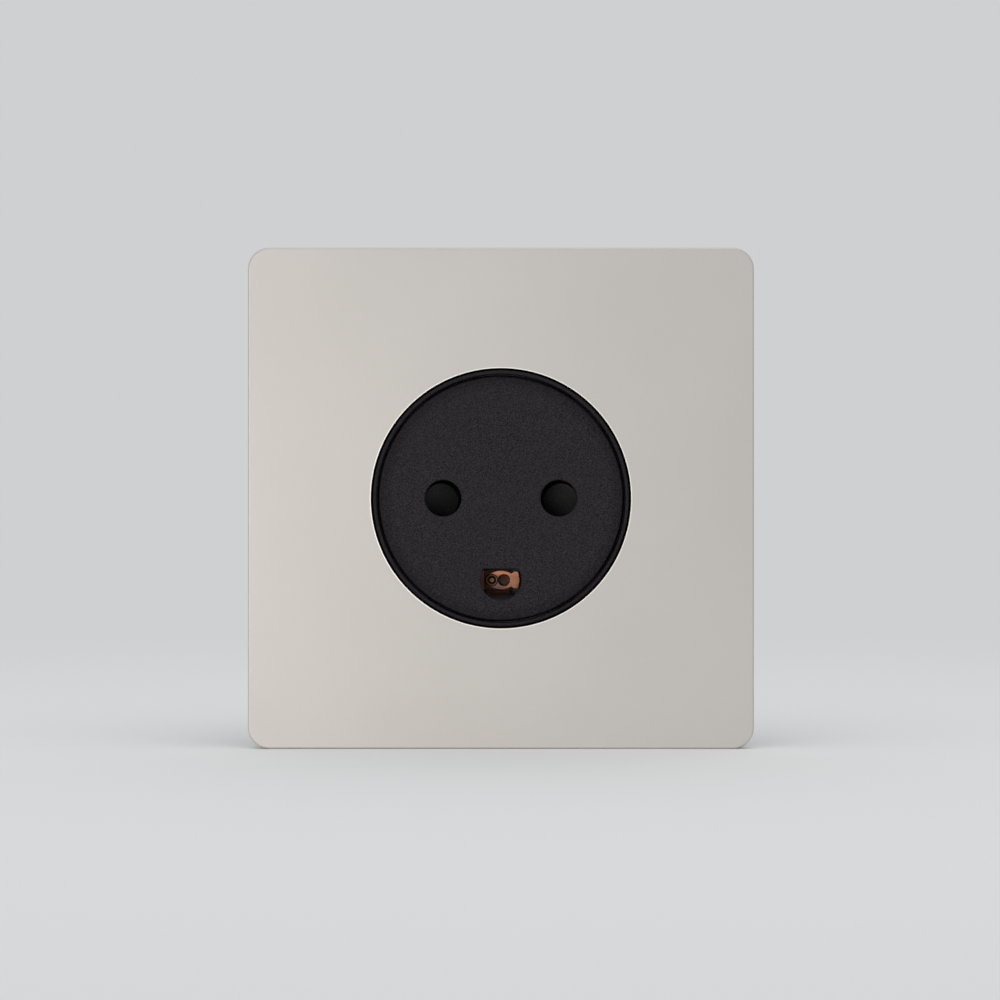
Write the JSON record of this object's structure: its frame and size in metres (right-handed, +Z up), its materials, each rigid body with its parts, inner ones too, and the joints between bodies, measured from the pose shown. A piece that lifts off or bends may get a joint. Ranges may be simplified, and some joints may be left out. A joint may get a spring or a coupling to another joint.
{
  "type": "wall socket outlet",
  "caption": "Flush wall socket: square satin metal cover plate, round black insert with shuttered pin holes and a half-round earth hole, steel strap and screw terminals behind.",
  "frame": {"origin": "on the wall surface, at the centre of the insert and of the wall box's screw circle", "axes": "+Y into the wall, +Z up, +X to the right as seen from the room"},
  "size_m": [0.083, 0.0274, 0.0822],
  "materials": {
    "satin_nickel": "satin nickel plated",
    "black_moulding": "fine-grained black moulding",
    "shutter_moulding": "smooth black moulding",
    "base_moulding": "dark grey moulding",
    "zinc_plate": "bright zinc plated",
    "contact_bronze": "rolled bronze strip",
    "earth_copper": "copper alloy strip",
    "dull_copper": "tarnished copper alloy strip",
    "terminal_brass": "drawn brass",
    "spring_steel": "bright spring steel",
    "screw_steel": "zinc plated"
  },
  "bodies": {
    "socket": {"cover_plate": "satin_nickel", "plate_carrier": "black_moulding", "mounting_strap": "zinc_plate", "socket_front": "black_moulding", "shutter_spring": "spring_steel", "shutter_guide": "shutter_moulding", "base": "base_moulding", "live_contact": "contact_bronze", "neutral_contact": "contact_bronze", "live_contact_spring": "spring_steel", "neutral_contact_spring": "spring_steel", "earth_contact": "dull_copper", "earth_strip": "earth_copper", "earth_tail": "dull_copper", "earth_rivet": "terminal_brass", "live_terminal": "terminal_brass", "neutral_terminal": "terminal_brass", "earth_terminal": "terminal_brass", "terminal_screws": "screw_steel", "housing_screws": "screw_steel"},
    "shutter": {"shutter": "shutter_moulding"}
  },
  "joints": [
    {"name": "shutter_slide", "type": "slide", "parent": "socket", "child": "shutter", "axis": [0, 0, 1], "range_m": [0, 0.006], "stiffness_N_per_m": 40, "springref_m": -0.006, "deforming": ["shutter_spring"]}
  ]
}
